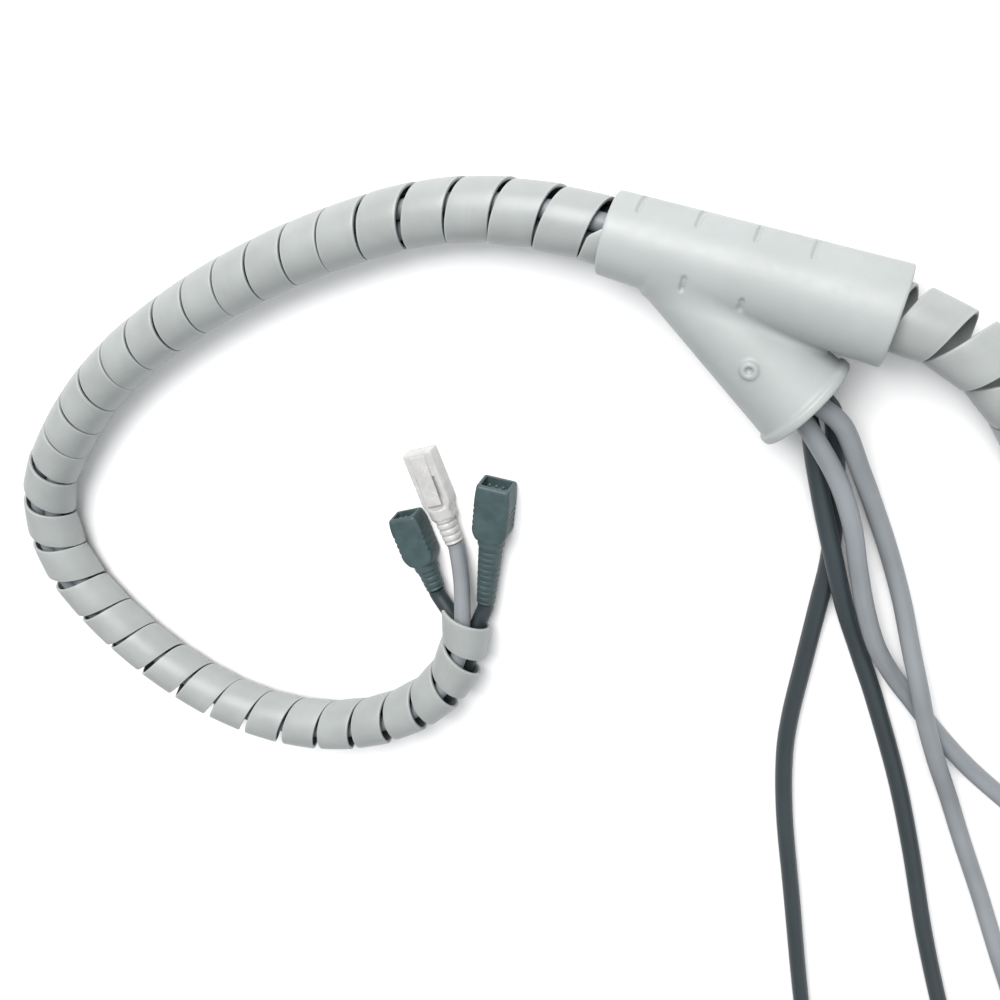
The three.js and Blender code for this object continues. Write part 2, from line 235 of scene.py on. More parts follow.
def add_lay(piece, along, across, deep):
    """The lay attribute: each vertex's place along, across and deep in the piece, in metres."""
    lay = np.stack([along, across, deep], -1)
    attribute = piece.data.attributes.new("lay", "FLOAT_VECTOR", "POINT")
    attribute.data.foreach_set("vector", np.asarray(lay, np.float32).ravel())


def swept_faces(rows, columns):
    """Quads of a closed profile carried along a line, and the two end faces, pointing out."""
    row = np.arange(rows - 1)[:, None]
    column = np.arange(columns)[None]
    following = (column + 1) % columns
    corners = [
        row * columns + column,
        (row + 1) * columns + column,
        (row + 1) * columns + following,
        row * columns + following,
    ]
    quads = np.stack(corners, -1).reshape(-1, 4).tolist()
    first = np.arange(columns).tolist()
    last = (np.arange(columns)[::-1] + (rows - 1) * columns).tolist()
    return [*quads, first, last]


# Surface net: margin and longest step in cells, then the reach of the gradient's probe and the
# least squared slope that a step divides by
NET_MARGIN = 1.5
NET_STEPS = 3
NET_REACH = 0.5
NET_PROBE = 0.05 * MM
NET_SLOPE = 0.2
TINY = 1e-12


def surface_net(name, field, low, high, cell):
    """The surface where a field is zero, on a cubic grid a little larger than its box.

    Each cell that the surface crosses gets one vertex at the mean of the crossings on its
    edges. Newton steps along the field's gradient bring it onto the surface, what is past the
    box is brought back to it, and each crossed grid edge gets the quad of the four cells
    round it.
    """
    margin = NET_MARGIN * cell
    lines = [np.arange(a - margin, b + margin + cell, cell) for a, b in zip(low, high)]
    shape = tuple(len(line) for line in lines)
    grid = np.stack(np.meshgrid(*lines, indexing="ij"), -1)
    value = field(grid.reshape(-1, 3)).reshape(shape)
    inside = value < 0
    cells = tuple(count - 1 for count in shape)
    total = np.zeros((*cells, 3))
    count = np.zeros(cells)
    crossed = []
    for axis in range(3):
        before = np.take(value, range(shape[axis] - 1), axis)
        after = np.take(value, range(1, shape[axis]), axis)
        change = (before < 0) != (after < 0)
        share = np.where(change, before / np.where(change, before - after, 1), 0)
        place = np.take(grid, range(shape[axis] - 1), axis).copy()
        place[..., axis] += share * cell
        place *= change[..., None]
        crossed.append(change)
        others = [other for other in range(3) if other != axis]
        for shift in ((0, 0), (0, 1), (1, 0), (1, 1)):
            window = [slice(None)] * 3
            for other, step in zip(others, shift):
                window[other] = slice(step, cells[other] + step)
            total += place[tuple(window)]
            count += change[tuple(window)]
    active = count > 0
    number = np.cumsum(active.ravel()).reshape(cells) - 1
    vertices = total[active] / count[active][:, None]
    faces = []
    for axis in range(3):
        second = (axis + 1) % 3
        third = (axis + 2) % 3
        edge = np.argwhere(crossed[axis])
        limits = (edge[:, second] > 0) & (edge[:, second] < cells[second])
        limits &= (edge[:, third] > 0) & (edge[:, third] < cells[third])
        edge = edge[limits]
        corners = []
        for back in ((1, 1), (0, 1), (0, 0), (1, 0)):
            at = edge.copy()
            at[:, second] -= back[0]
            at[:, third] -= back[1]
            corners.append(number[at[:, 0], at[:, 1], at[:, 2]])
        quads = np.stack(corners, -1)
        outward = inside[edge[:, 0], edge[:, 1], edge[:, 2]]
        faces.append(np.where(outward[:, None], quads, quads[:, ::-1]))
    reach = NET_REACH * cell
    for _ in range(NET_STEPS):
        slope = np.zeros_like(vertices)
        for axis in range(3):
            step = np.zeros(3)
            step[axis] = NET_PROBE
            slope[:, axis] = (field(vertices + step) - field(vertices - step)) / (2 * NET_PROBE)
        steep = np.maximum((slope**2).sum(1), NET_SLOPE)
        move = -slope * (field(vertices) / steep)[:, None]
        length = np.linalg.norm(move, axis=1, keepdims=True)
        vertices = vertices + move * np.minimum(1, reach / np.maximum(length, TINY))
    vertices = np.clip(vertices, low, high)
    return finish_mesh(name, vertices, np.concatenate(faces).tolist())


# Distance fields

def smooth_union(a, b, reach):
    """The lesser of two fields, rounded where they are within reach of each other."""
    share = np.clip(0.5 + 0.5 * (b - a) / reach, 0, 1)
    return mix(b, a, share) - reach * share * (1 - share)


def smooth_cut(a, b, reach):
    """The greater of two fields, rounded where they are within reach of each other."""
    return -smooth_union(-a, -b, reach)


def cone_field(along, off_axis, radii, ends, edge):
    """A cone's slanted side and flat ends, from the place along its axis and distance off it."""
    start, end = ends
    slope = (radii[1] - radii[0]) / (end - start)
    side = (off_axis - radii[0] - slope * (along - start)) / math.hypot(1, slope)
    return smooth_cut(side, np.maximum(start - along, along - end), edge)


def box_field(points, centre, half, rounding):
    """A box with rounded edges."""
    away = np.abs(points - np.array(centre)) - (np.array(half) - rounding)
    outside = np.linalg.norm(np.maximum(away, 0), axis=1)
    return outside + np.minimum(away.max(1), 0) - rounding


def along_axis(points, base, heading):
    """Places along and to the left of a level axis, and the distance off it."""
    offset = points - base
    along = offset[:, 0] * math.cos(heading) + offset[:, 1] * math.sin(heading)
    left = offset[:, 1] * math.cos(heading) - offset[:, 0] * math.sin(heading)
    return along, left, np.hypot(left, offset[:, 2])


# Materials

# Sockets of a colour mix: its share, its two colours and its result
MIX_SHARE = 0
MIX_FIRST = 6
MIX_SECOND = 7
MIX_RESULT = 2


class Finish:
    """A material's nodes, added one at a time."""

    def __init__(self, name):
        self.material = bpy.data.materials.new(name)
        self.material.use_nodes = True
        self.tree = self.material.node_tree
        self.tree.nodes.clear()

    def add(self, kind, inputs=(), **settings):
        """One node with its settings, and its inputs as values or as other nodes' sockets."""
        node = self.tree.nodes.new(kind)
        for key, value in settings.items():
            setattr(node, key, value)
        for key, value in dict(inputs).items():
            if isinstance(value, bpy.types.NodeSocket):
                self.tree.links.new(value, node.inputs[key])
            else:
                node.inputs[key].default_value = value
        return node

    def lay(self, scale=(1, 1, 1)):
        """The piece's own lay attribute, scaled along, across and deep."""
        source = self.add("ShaderNodeAttribute", attribute_name="lay")
        inputs = {"Vector": source.outputs["Vector"], "Scale": scale}
        return self.add("ShaderNodeMapping", inputs).outputs["Vector"]

    def place(self):
        """Object coordinates."""
        return self.add("ShaderNodeTexCoord").outputs["Object"]

    def noise(self, vector, scale, detail, roughness=0.55):
        """Noise from 0 to 1."""
        inputs = {"Vector": vector, "Scale": scale, "Detail": detail, "Roughness": roughness}
        return self.add("ShaderNodeTexNoise", inputs).outputs["Fac"]

    def streaks(self, waves, detail):
        """Noise drawn out along the piece, with waves to a metre along, across and deep."""
        return self.noise(self.lay(waves), scale=1.0, detail=detail)

    def ramp(self, value, span, to=(0.0, 1.0)):
        """A value over one span mapped to another."""
        inputs = {
            "Value": value,
            "From Min": span[0],
            "From Max": span[1],
            "To Min": to[0],
            "To Max": to[1],
        }
        return self.add("ShaderNodeMapRange", inputs).outputs["Result"]

    def blend(self, share, first, second):
        """Two colours mixed by a share."""
        inputs = {MIX_SHARE: share, MIX_FIRST: first, MIX_SECOND: second}
        return self.add("ShaderNodeMix", inputs, data_type="RGBA").outputs[MIX_RESULT]

    def tones(self, value, span, colour, factors):
        """A colour that goes from one factor to the other as a value goes over a span."""
        share = self.ramp(value, span)
        return self.blend(share, shaded(colour, factors[0]), shaded(colour, factors[1]))

    def bump(self, height, depth, strength, below=None):
        """A bump of a depth in metres, over another bump if one is given."""
        inputs = {"Height": height, "Distance": depth, "Strength": strength}
        if below is not None:
            inputs["Normal"] = below
        return self.add("ShaderNodeBump", inputs).outputs["Normal"]

    def shade(self, **inputs):
        """The surface shader and the material's output."""
        named = {}
        for key, value in inputs.items():
            name = "IOR" if key == "ior" else key.replace("_", " ").title()
            named[name] = value
        shader = self.add("ShaderNodeBsdfPrincipled", named)
        self.add("ShaderNodeOutputMaterial", {"Surface": shader.outputs["BSDF"]})
        return self.material


# Refraction of the plastics, and how far light goes into the soft ones
PLASTIC_IOR = 1.5
CLEAR_IOR = 1.49
SOFT_PLASTIC = {
    "subsurface_radius": (1.0, 1.0, 0.9),
    "subsurface_scale": 2 * MM,
    "ior": PLASTIC_IOR,
}

# Where the ribbon begins to be rubbed pale and where it is palest, off its middle line
RUBBED_BAND = (5.9 * MM, 6.8 * MM)


def shaded(colour, factor):
    """A colour made lighter or darker, with full alpha."""
    return (*(min(1.0, part * factor) for part in colour[:3]), 1.0)


def wrap_finish(colour):
    """Extruded polyethylene: fine draw lines along the ribbon, paler rubbed edges, faint clouds."""
    finish = Finish("wrap_plastic")
    place = finish.place()
    clouds = finish.noise(place, scale=55.0, detail=3.0)
    tone = finish.tones(clouds, (0.35, 0.65), colour, (0.93, 1.05))
    across = finish.add("ShaderNodeSeparateXYZ", {"Vector": finish.lay()}).outputs["Y"]
    distance = finish.add("ShaderNodeMath", {0: across}, operation="ABSOLUTE").outputs[0]
    rubbed = finish.blend(finish.ramp(distance, RUBBED_BAND), tone, shaded(colour, 1.12))
    dust = finish.ramp(finish.streaks((18, 900, 900), detail=5.0), (0.52, 0.8), to=(0.0, 0.22))
    dusty = finish.blend(dust, rubbed, shaded(colour, 0.8))
    lines = finish.streaks((25, 3200, 3200), detail=2.0)
    grain = finish.noise(place, scale=1500.0, detail=3.0)
    drawn = finish.bump(lines, depth=0.05 * MM, strength=0.5)
    return finish.shade(
        base_color=dusty,
        roughness=finish.ramp(clouds, (0.3, 0.7), to=(0.36, 0.5)),
        normal=finish.bump(grain, depth=0.03 * MM, strength=0.4, below=drawn),
        subsurface_weight=0.12,
        **SOFT_PLASTIC,
    )


def tool_finish(colour):
    """Moulded plastic: a fine spark-eroded texture, soft flow clouds and light scuffs."""
    finish = Finish("tool_plastic")
    place = finish.place()
    clouds = finish.noise(place, scale=40.0, detail=3.0)
    tone = finish.tones(clouds, (0.35, 0.65), colour, (0.95, 1.04))
    scuffs = finish.noise(place, scale=260.0, detail=6.0, roughness=0.7)
    scuffed = finish.ramp(scuffs, (0.58, 0.75), to=(0.0, 0.25))
    texture = finish.noise(place, scale=2400.0, detail=2.0)
    return finish.shade(
        base_color=finish.blend(scuffed, tone, shaded(colour, 0.84)),
        roughness=finish.ramp(scuffs, (0.3, 0.7), to=(0.4, 0.54)),
        normal=finish.bump(texture, depth=0.05 * MM, strength=0.55),
        subsurface_weight=0.1,
        **SOFT_PLASTIC,
    )


def sheath_finish(name, colour):
    """Cable sheath: long draw lines, rubbed patches and a fine grain."""
    finish = Finish(name)
    patches = finish.streaks((28, 60, 60), detail=3.0)
    tone = finish.tones(patches, (0.35, 0.68), colour, (0.86, 1.14))
    lines = finish.streaks((20, 1400, 1400), detail=4.0)
    worn = finish.ramp(lines, (0.5, 0.8), to=(0.0, 0.3))
    grain = finish.noise(finish.place(), scale=1800.0, detail=2.0)
    drawn = finish.bump(lines, depth=0.08 * MM, strength=0.45)
    return finish.shade(
        base_color=finish.blend(worn, tone, shaded(colour, 0.7)),
        roughness=finish.ramp(patches, (0.3, 0.7), to=(0.44, 0.6)),
        normal=finish.bump(grain, depth=0.02 * MM, strength=0.4, below=drawn),
        ior=PLASTIC_IOR,
    )


def dark_plug_finish(colour):
    """Moulded grey-green plastic with a fine matt texture and paler handled areas."""
    finish = Finish("dark_plug")
    place = finish.place()
    handled = finish.noise(place, scale=190.0, detail=4.0, roughness=0.6)
    texture = finish.noise(place, scale=2600.0, detail=2.0)
    return finish.shade(
        base_color=finish.tones(handled, (0.36, 0.66), colour, (0.82, 1.18)),
        roughness=finish.ramp(handled, (0.3, 0.7), to=(0.42, 0.58)),
        normal=finish.bump(texture, depth=0.06 * MM, strength=0.6),
        ior=PLASTIC_IOR,
    )


def clear_plug_finish(colour):
    """Milky clear plastic with faint flow lines."""
    finish = Finish("clear_plug")
    place = finish.place()
    flow = finish.noise(place, scale=220.0, detail=4.0, roughness=0.6)
    ripples = finish.noise(place, scale=700.0, detail=3.0)
    return finish.shade(
        base_color=finish.tones(flow, (0.35, 0.68), colour, (0.9, 1.06)),
        roughness=finish.ramp(flow, (0.3, 0.7), to=(0.16, 0.3)),
        normal=finish.bump(ripples, depth=0.05 * MM, strength=0.35),
        transmission_weight=0.25,
        subsurface_weight=0.3,
        subsurface_radius=(1.0, 1.0, 1.0),
        subsurface_scale=3 * MM,
        ior=CLEAR_IOR,
    )


def floor_finish(colour):
    """A pale matt floor with the slightest unevenness."""
    finish = Finish("pale_floor")
    clouds = finish.noise(finish.place(), scale=3.0, detail=3.0)
    tone = finish.tones(clouds, (0.3, 0.7), colour, (0.985, 1.0))
    return finish.shade(base_color=tone, roughness=0.7)


# Spiral wrap

# Steps that the ribbon's turning is summed in, and the wide turn's first angle, at the top
TURNING_STEP = 0.1 * MM
SPREAD_ANGLE = 1.5 * np.pi

# Ribbon's section: its crown, its points across and the angles of its rounded edges
CROWN = 0.12 * MM
ACROSS_POINTS = 6
EDGE_ANGLES = np.radians([0, 30, 60, 90])

# Slight unevenness of the turns, as a depth and the radians to a metre of two waves
SWAY_DEPTH = 0.1 * MM
SWAY_WAVES = (210, 47)
DRIFT_DEPTH = 0.35 * MM
DRIFT_WAVES = (95, 31)


def pitch_at(settings, s):
    """Advance for one turn: the ribbon and its gap, more in a bend, so that the gap is kept on
    its inside, and the length of the wide turn in the barrel."""
    _, _, bend = WRAP_ROUTE.place(s)
    pitch = (settings.ribbon_width + settings.turn_gap) / (1 - WRAP_RADIUS * np.abs(bend))
    spread = (s > SPREAD_START) & (s < SPREAD_START + SPREAD_PITCH)
    return np.where(spread, SPREAD_PITCH, pitch)


def ribbon_stations(settings):
    """Lengths at equal steps of the ribbon's turning: the turning is the sum of a full turn
    over the pitch, shifted so that the spread turn starts at the top."""
    fine = np.arange(0, WRAP_ROUTE.length, TURNING_STEP)
    steps = TURNING_STEP * 2 * np.pi / pitch_at(settings, fine)
    turning = np.concatenate([[0], np.cumsum(steps)])
    fine = np.append(fine, WRAP_ROUTE.length)
    turning += SPREAD_ANGLE - np.interp(SPREAD_START, fine, turning)
    count = int((turning[-1] - turning[0]) / (2 * np.pi) * settings.steps_per_turn)
    angle = np.linspace(turning[0], turning[-1], count)
    return np.interp(angle, turning, fine), angle


def ribbon_profile(settings):
    """The ribbon's section as (depth inwards, place across): a flat band with rounded edges
    and a slightly crowned outer face."""
    half = settings.ribbon_width / 2
    wall = settings.ribbon_wall
    corner = settings.ribbon_edge
    across = np.linspace(-half + corner, half - corner, ACROSS_POINTS)
    crown = CROWN * (across / half) ** 2
    outer = np.stack([crown, across], -1)
    inwards = corner - corner * np.cos(EDGE_ANGLES)
    near = np.stack([inwards, half - corner + corner * np.sin(EDGE_ANGLES)], -1)
    near[:, 0] += crown[-1]
    far = near[::-1] * [-1, 1] + [wall + crown[-1], 0]
    inner = np.stack([np.full(ACROSS_POINTS - 2, wall), across[-2:0:-1]], -1)
    back = np.concatenate([near, far])
    return np.concatenate([outer[:-1], back, inner, back[::-1] * [1, -1]])[:-1]


def make_wrap(settings):
    """The ribbon's section carried along a helix round the route: each point is the axis
    point plus (radius less depth) outwards plus its place across forwards."""
    s, angle = ribbon_stations(settings)
    axis, forward, left = frames_at(WRAP_ROUTE, s)
    outward = np.cos(-angle)[:, None] * left + np.sin(-angle)[:, None] * UP
    sway = SWAY_DEPTH * (1 - np.cos(s * SWAY_WAVES[0]) * np.cos(s * SWAY_WAVES[1])) / 2
    drift = DRIFT_DEPTH * np.sin(s * DRIFT_WAVES[0]) * np.sin(s * DRIFT_WAVES[1])
    profile = ribbon_profile(settings)
    radius = (wrap_radius(s) - sway)[:, None] - profile[None, :, 0]
    across = drift[:, None] + profile[None, :, 1]
    off_axis = radius[..., None] * outward[:, None] + across[..., None] * forward[:, None]
    points = axis[:, None] + off_axis
    faces = swept_faces(*points.shape[:2])
    piece = finish_mesh("spiral_wrap_ribbon", points.reshape(-1, 3), faces, CREASE_ANGLE)
    along = (angle * WRAP_RADIUS)[:, None]
    add_lay(piece, *np.broadcast_arrays(along, profile[:, 1], profile[:, 0]))
    piece.data.materials.append(wrap_finish(settings.colour))
    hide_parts("spiral_wrap")
    return piece


# Threading tool

# Marks on the barrel as place along it in mm, first angle and last angle in degrees; they fade
# in over some degrees, and their half width over their depth is their flatness
BARREL_MARKS = [
    (8.0, -18, 42),
    (25.0, -14, 40),
    (41.5, -10, 38),
    (57.5, -8, 40),
    (26.0, 94, 124),
    (43.0, 100, 128),
]
MARK_FADE = 8
MARK_FLATNESS = 1.2
MARK_EDGE = 0.3 * MM

# Boss and its dimple, small joins, and the bores with the length that they run past the rims
BOSS_EDGE = 0.8 * MM
DIMPLE_RADIUS = 1.2 * MM
DIMPLE_EDGE = 0.5 * MM
SMALL_JOIN = 1.2 * MM
BORE_JOIN = 1.5 * MM
BORE_EDGE = 0.01 * MM
BORE_BEYOND = 4 * MM


def tool_field(settings):
    """Barrel and funnel as cones, joined with a fillet, with both bores cut out."""
    barrel_point, barrel_heading, _ = WRAP_ROUTE.place(BARREL_START)
    root_point, _, _ = BUNDLE_ROUTE.place(BUNDLE_ROUTE.length - FUNNEL_RUN)
    _, funnel_heading, _ = BUNDLE_ROUTE.place(BUNDLE_ROUTE.length)
    barrel_base = np.append(barrel_point, TOOL_HEIGHT) - ORIGIN
    funnel_base = np.append(root_point, TOOL_HEIGHT) - ORIGIN
    barrel_slope = (BARREL_FRONT_BORE - BARREL_REAR_BORE) / BARREL_LENGTH
    funnel_slope = (MOUTH_BORE - FUNNEL_ROOT_BORE) / FUNNEL_RUN
    barrel_radii = (BARREL_REAR_BORE + TOOL_WALL, BARREL_FRONT_BORE + TOOL_WALL)
    funnel_radii = (FUNNEL_ROOT_BORE + TOOL_WALL, MOUTH_BORE + TOOL_WALL)
    barrel_bores = (
        BARREL_REAR_BORE - barrel_slope * BORE_BEYOND,
        BARREL_FRONT_BORE + barrel_slope * BORE_BEYOND,
    )
    funnel_bores = (FUNNEL_ROOT_BORE, MOUTH_BORE + funnel_slope * BORE_BEYOND)
    barrel_bore_ends = (-BORE_BEYOND, BARREL_LENGTH + BORE_BEYOND)
    funnel_bore_ends = (0, FUNNEL_RUN + BORE_BEYOND)
    lip_ends = (FUNNEL_RUN - LIP_LENGTH, FUNNEL_RUN)
    boss_top = mix(FUNNEL_ROOT_BORE, MOUTH_BORE, BOSS_PLACE / FUNNEL_RUN) + TOOL_WALL + BOSS_HEIGHT
    rim = settings.rim_rounding

    def field(points):
        along, left, off_axis = along_axis(points, barrel_base, barrel_heading)
        deep, aside, off_funnel = along_axis(points, funnel_base, funnel_heading)
        height = points[:, 2] - TOOL_HEIGHT
        barrel = cone_field(along, off_axis, barrel_radii, (0, BARREL_LENGTH), rim)
        funnel = cone_field(deep, off_funnel, funnel_radii, (0, FUNNEL_RUN), rim)
        lip = cone_field(deep, off_funnel, (LIP_RADIUS, LIP_RADIUS), lip_ends, rim)
        off_boss = np.hypot(deep - BOSS_PLACE, aside)
        boss_ends = np.maximum(height - boss_top, -height)
        boss = smooth_cut(off_boss - BOSS_RADIUS, boss_ends, BOSS_EDGE)
        dimple = np.hypot(off_boss, height - boss_top) - DIMPLE_RADIUS
        body = smooth_union(barrel, funnel, settings.fillet)
        body = smooth_union(body, lip, SMALL_JOIN)
        body = smooth_union(body, boss, SMALL_JOIN)
        body = smooth_cut(body, -dimple, DIMPLE_EDGE)
        angle = np.degrees(np.arctan2(height, left))
        skin = barrel_radii[0] + barrel_slope * along
        for place, first, last in BARREL_MARKS:
            fade_in = smoothstep(angle, first, first + MARK_FADE)
            fade = fade_in * (1 - smoothstep(angle, last - MARK_FADE, last))
            off_mark = np.hypot(along - place * MM, MARK_FLATNESS * (off_axis - skin))
            marked = smooth_cut(body, settings.mark_half_width * fade - off_mark, MARK_EDGE)
            body = np.where(fade > 0, marked, body)
        barrel_bore = cone_field(along, off_axis, barrel_bores, barrel_bore_ends, BORE_EDGE)
        funnel_bore = cone_field(deep, off_funnel, funnel_bores, funnel_bore_ends, BORE_EDGE)
        return smooth_cut(body, -smooth_union(barrel_bore, funnel_bore, BORE_JOIN), rim)

    return field


def make_tool(settings):
    """The tool's skin, netted from its distance field inside the solid's own box."""
    low, high = (np.array(corner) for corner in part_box("threading_tool"))
    piece = surface_net("threading_tool_shell", tool_field(settings), low, high, settings.cell)
    piece.data.materials.append(tool_finish(settings.colour))
    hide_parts("threading_tool")
    return piece


# Plugs

PLUG_KINDS = {
    "socket": {
        "neck": 11, "neck_radius": 4.2, "tail_radius": 3.4,
        "body": 20, "width": 12.5, "nose": 10.5, "height": 9,
    },
    "long_socket": {
        "neck": 27, "neck_radius": 4.6, "tail_radius": 3.4,
        "body": 22, "width": 13, "nose": 12, "height": 10,
    },
    "modular": {
        "neck": 13, "neck_radius": 3.9, "tail_radius": 3.4,
        "body": 23, "width": 11.7, "nose": 11.7, "height": 8,
    },
}

# Neck of every plug: its end inside the body, its collar and its flex grooves
NECK_INSIDE = 1 * MM
NECK_EDGE = 0.5 * MM
COLLAR_LENGTH = 2.4 * MM
COLLAR_EDGE = 0.6 * MM
COLLAR_RISE = 0.2 * MM
COLLAR_JOIN = 0.8 * MM
FLEX_START = 1.2 * MM
FLEX_PITCH = 2.4 * MM
FLEX_MARGIN = 3 * MM

# Socket: outline, finger grooves measured from the neck, mould seam, recess and pins
SOCKET_CORNER = 0.9 * MM
SOCKET_EDGE = 1.6 * MM
GRIP_START = 6 * MM
GRIP_MIDDLE = 9.3 * MM
GRIP_HALF = 3.9 * MM
GRIP_PITCH = 2.2 * MM
GRIP_DEPTH = 0.35 * MM
GRIP_REACH = 1.2 * MM
SEAM_HALF = 0.35 * MM
SEAM_DEPTH = 0.12 * MM
RECESS_DEPTH = 4 * MM
RECESS_SIDE_WALL = 1.3 * MM
RECESS_TOP_WALL = 1.6 * MM
RECESS_CORNER = 0.8 * MM
RECESS_EDGE = 0.4 * MM
PIN_PLACES = (-2.4 * MM, 0, 2.4 * MM)
PIN_RADIUS = 0.6 * MM
PIN_ROOT = 5 * MM
PIN_TIP = 1 * MM
PIN_EDGE = 0.3 * MM
SOCKET_FLEX_DEPTH = 0.25 * MM
SOCKET_JOIN = 0.9 * MM

# Modular plug: each box is its half length, half width and half height
MODULAR_CORNER = 0.7 * MM
MODULAR_EDGE = 0.9 * MM
CONTACTS = 8
CONTACT_PITCH = 1.02 * MM
CONTACT_SLOT = (6 * MM, 0.3 * MM, 1.3 * MM)
CONTACT_CORNER = 0.15 * MM
CONTACT_EDGE = 0.2 * MM
WINDOW = (5 * MM, 3.6 * MM, 0.7 * MM)
WINDOW_BACK = 3 * MM
WINDOW_CORNER = 0.4 * MM
WINDOW_EDGE = 0.3 * MM
LATCH_ROOM = 1.7 * MM
LATCH_LIFT = 0.1 * MM
LATCH_HINGE = 1.5 * MM
LATCH_RISE = 0.055
LATCH_HALF_WALL = 0.45 * MM
LATCH_HALF_WIDTH = 3 * MM
LATCH_TAIL = 3 * MM
LATCH_TIP = 1.2 * MM
LATCH_SIDE_EDGE = 0.4 * MM
LATCH_END_EDGE = 0.5 * MM
HINGE = (1.2 * MM, 3 * MM, 0.5 * MM)
HINGE_BACK = 2.4 * MM
HINGE_CORNER = 0.3 * MM
HINGE_JOIN = 0.3 * MM
BOOT = (4.5 * MM, 4.6 * MM, 2.9 * MM)
BOOT_AHEAD = 1 * MM
BOOT_DROP = 0.6 * MM
BOOT_CORNER = 1.4 * MM
BOOT_JOIN = 0.7 * MM
MODULAR_FLEX_DEPTH = 0.45 * MM
MODULAR_JOIN = 1.2 * MM


def plug_size(kind):
    """The sizes of a kind of plug, in metres."""
    return {key: value * MM for key, value in PLUG_KINDS[kind].items()}


def outline_field(x, y, size, rounding):
    """The body's outline from above: straight sides with chamfered shoulders at both ends."""
    start = size["neck"]
    end = start + size["body"]
    shoulder = size["width"] / 4
    side = np.abs(y)

    def bevel(place, first, last):
        run = (last - first) / shoulder
        return (side - first - run * place) / math.hypot(1, run)

    half = size["width"] / 2
    ends = np.maximum(start - x, x - end)
    body = smooth_cut(side - half, ends, rounding)
    body = smooth_cut(body, bevel(x - start, size["neck_radius"], half), rounding)
    return smooth_cut(body, bevel(end - x, size["nose"] / 2, half), rounding)


def neck_field(points, size, ridge):
    """A tapered round neck with a collar where it meets the body and a few shallow flex grooves."""
    x = points[:, 0]
    off_axis = np.hypot(points[:, 1], points[:, 2])
    neck = size["neck"]
    radius = size["neck_radius"]
    end = neck + NECK_INSIDE
    cone = cone_field(x, off_axis, (size["tail_radius"], radius), (0, end), NECK_EDGE)
    collar = cone_field(x, off_axis, (radius, radius), (neck - COLLAR_LENGTH, end), COLLAR_EDGE)
    wave = np.cos(2 * np.pi * (x - FLEX_START) / FLEX_PITCH)
    groove = ridge * np.clip(wave, 0, 1) * (x < neck - FLEX_MARGIN)
    return smooth_union(cone + groove, collar - COLLAR_RISE, COLLAR_JOIN)


def socket_field(size):
    """A moulded socket: neck, chamfered body with finger grooves, and a recessed face with pins."""
    neck = size["neck"]
    end = neck + size["body"]
    half_width = size["width"] / 2
    half_height = size["height"] / 2
    recess_half_width = size["nose"] / 2 - RECESS_SIDE_WALL
    recess_half = (RECESS_DEPTH, recess_half_width, half_height - RECESS_TOP_WALL)

    def field(points):
        x, y, z = points.T
        outline = outline_field(x, y, size, SOCKET_CORNER)
        body = smooth_cut(outline, np.abs(z) - half_height, SOCKET_EDGE)
        wave = np.cos(2 * np.pi * (x - neck - GRIP_START) / GRIP_PITCH)
        grip = np.clip(wave, 0, 1) * (np.abs(x - neck - GRIP_MIDDLE) < GRIP_HALF)
        side = smoothstep(np.abs(y), half_width - GRIP_REACH, half_width)
        seam = np.clip(1 - np.abs(z) / SEAM_HALF, 0, 1)
        body = body + GRIP_DEPTH * grip * side + SEAM_DEPTH * seam
        recess = box_field(points, (end, 0, 0), recess_half, RECESS_CORNER)
        body = smooth_cut(body, -recess, RECESS_EDGE)
        pin_ends = np.maximum(end - PIN_ROOT - x, x - end + PIN_TIP)
        for place in PIN_PLACES:
            pin = smooth_cut(np.hypot(y - place, z) - PIN_RADIUS, pin_ends, PIN_EDGE)
            body = np.minimum(body, pin)
        body = smooth_union(body, neck_field(points, size, SOCKET_FLEX_DEPTH), SOCKET_JOIN)
        return np.maximum(body, np.abs(z) - half_height)

    return field


def modular_field(size):
    """A modular network plug: clear body with eight contact slots, a latch and a slim boot."""
    neck = size["neck"]
    end = neck + size["body"]
    half_height = size["height"] / 2
    shell_top = half_height - LATCH_ROOM
    window_place = ((neck + end) / 2 - WINDOW_BACK, 0, shell_top)
    hinge_place = (end - HINGE_BACK, 0, shell_top)
    boot_place = (neck + BOOT_AHEAD, 0, -BOOT_DROP)

    def field(points):
        x, y, z = points.T
        outline = outline_field(x, y, size, MODULAR_CORNER)
        body = smooth_cut(outline, np.maximum(-half_height - z, z - shell_top), MODULAR_EDGE)
        for step in range(CONTACTS):
            slot_place = (end, (step - (CONTACTS - 1) / 2) * CONTACT_PITCH, -half_height)
            slot = box_field(points, slot_place, CONTACT_SLOT, CONTACT_CORNER)
            body = smooth_cut(body, -slot, CONTACT_EDGE)
        window = box_field(points, window_place, WINDOW, WINDOW_CORNER)
        body = smooth_cut(body, -window, WINDOW_EDGE)
        rise = shell_top + LATCH_LIFT + (end - LATCH_HINGE - x) * LATCH_RISE
        latch = np.abs(z - rise) - LATCH_HALF_WALL
        latch = smooth_cut(latch, np.abs(y) - LATCH_HALF_WIDTH, LATCH_SIDE_EDGE)
        latch_ends = np.maximum(neck + LATCH_TAIL - x, x - end + LATCH_TIP)
        latch = smooth_cut(latch, latch_ends, LATCH_END_EDGE)
        hinge = box_field(points, hinge_place, HINGE, HINGE_CORNER)
        boot = box_field(points, boot_place, BOOT, BOOT_CORNER)
        body = smooth_union(body, np.minimum(latch, hinge), HINGE_JOIN)
        body = smooth_union(body, boot, BOOT_JOIN)
        body = smooth_union(body, neck_field(points, size, MODULAR_FLEX_DEPTH), MODULAR_JOIN)
        return np.maximum(body, np.abs(z) - half_height)

    return field


